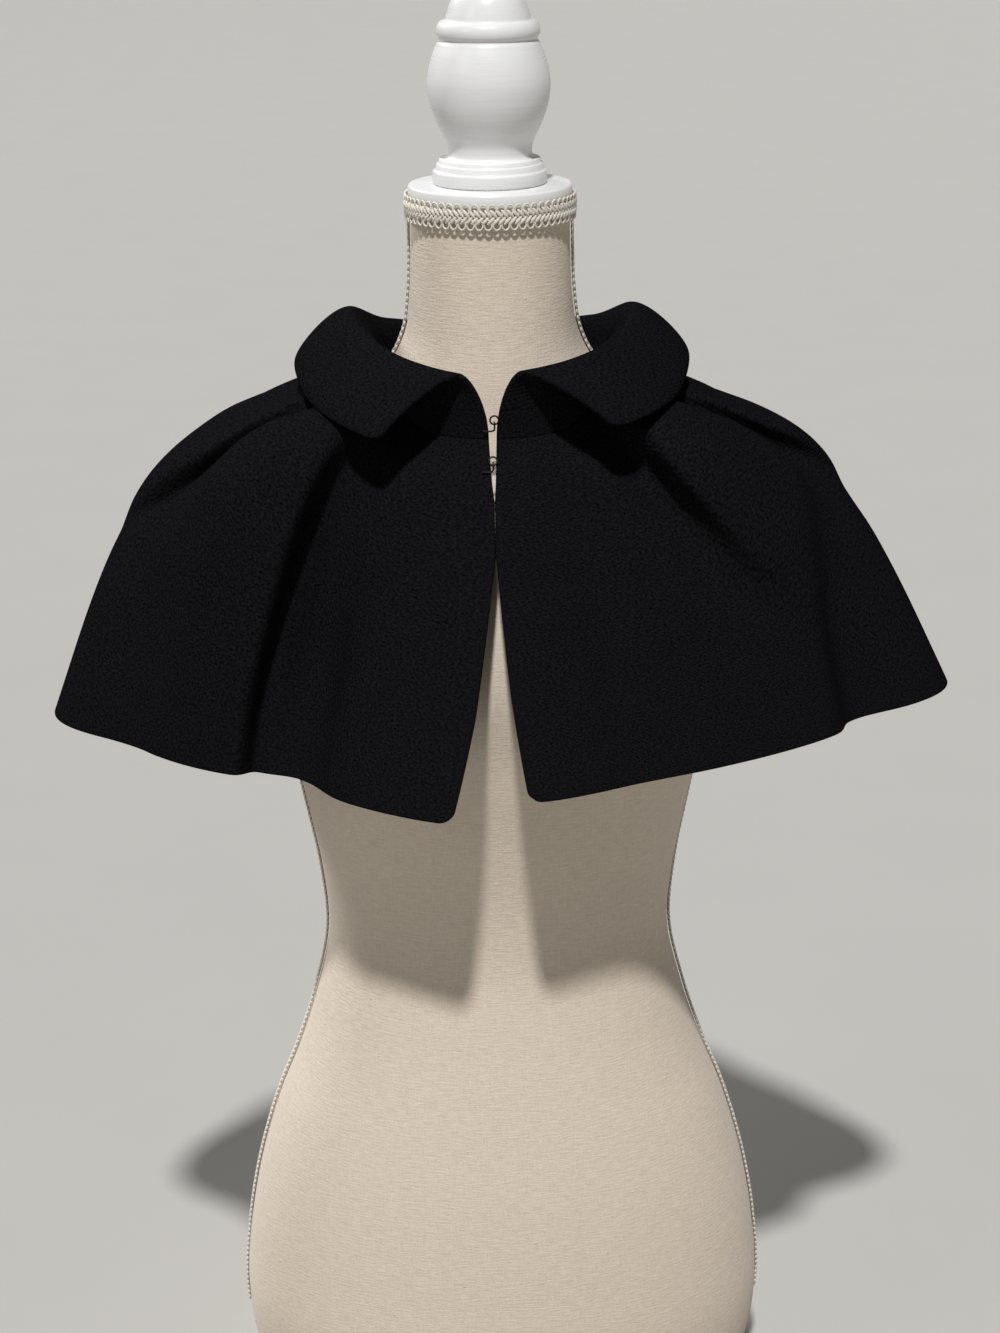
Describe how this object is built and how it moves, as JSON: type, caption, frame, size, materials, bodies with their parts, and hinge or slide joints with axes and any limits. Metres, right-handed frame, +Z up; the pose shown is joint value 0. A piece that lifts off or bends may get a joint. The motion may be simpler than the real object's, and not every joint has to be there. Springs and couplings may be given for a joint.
{
  "type": "capelet on dress form",
  "caption": "Short black wool shoulder capelet with a folded collar and hook fastening, worn on a limbless linen dress form with a turned white neck cap and finial.",
  "frame": {"origin": "middle of the dress form's flat underside", "axes": "+Z up along the form's axis, -Y to the front of the capelet, -X to the wearer's right"},
  "size_m": [0.5978, 0.3606, 0.99],
  "materials": {
    "wool": "matt brushed wool, black",
    "wire": "black lacquered wire",
    "linen": "plain woven linen, cream",
    "painted_wood": "white gloss paint on turned wood",
    "braid": "off-white gimp braid and cord"
  },
  "bodies": {
    "root": {"cape_front_right": "wool", "cape_front_left": "wool", "cape_back": "wool", "collar_stand": "wool", "collar_fall": "wool", "hook_upper": "wire", "eye_upper": "wire", "hook_lower": "wire", "eye_lower": "wire", "form_body": "linen", "form_neck_cap": "painted_wood", "form_finial": "painted_wood", "form_neck_trim": "braid", "form_side_trim_right": "braid", "form_side_trim_left": "braid"}
  },
  "joints": []
}
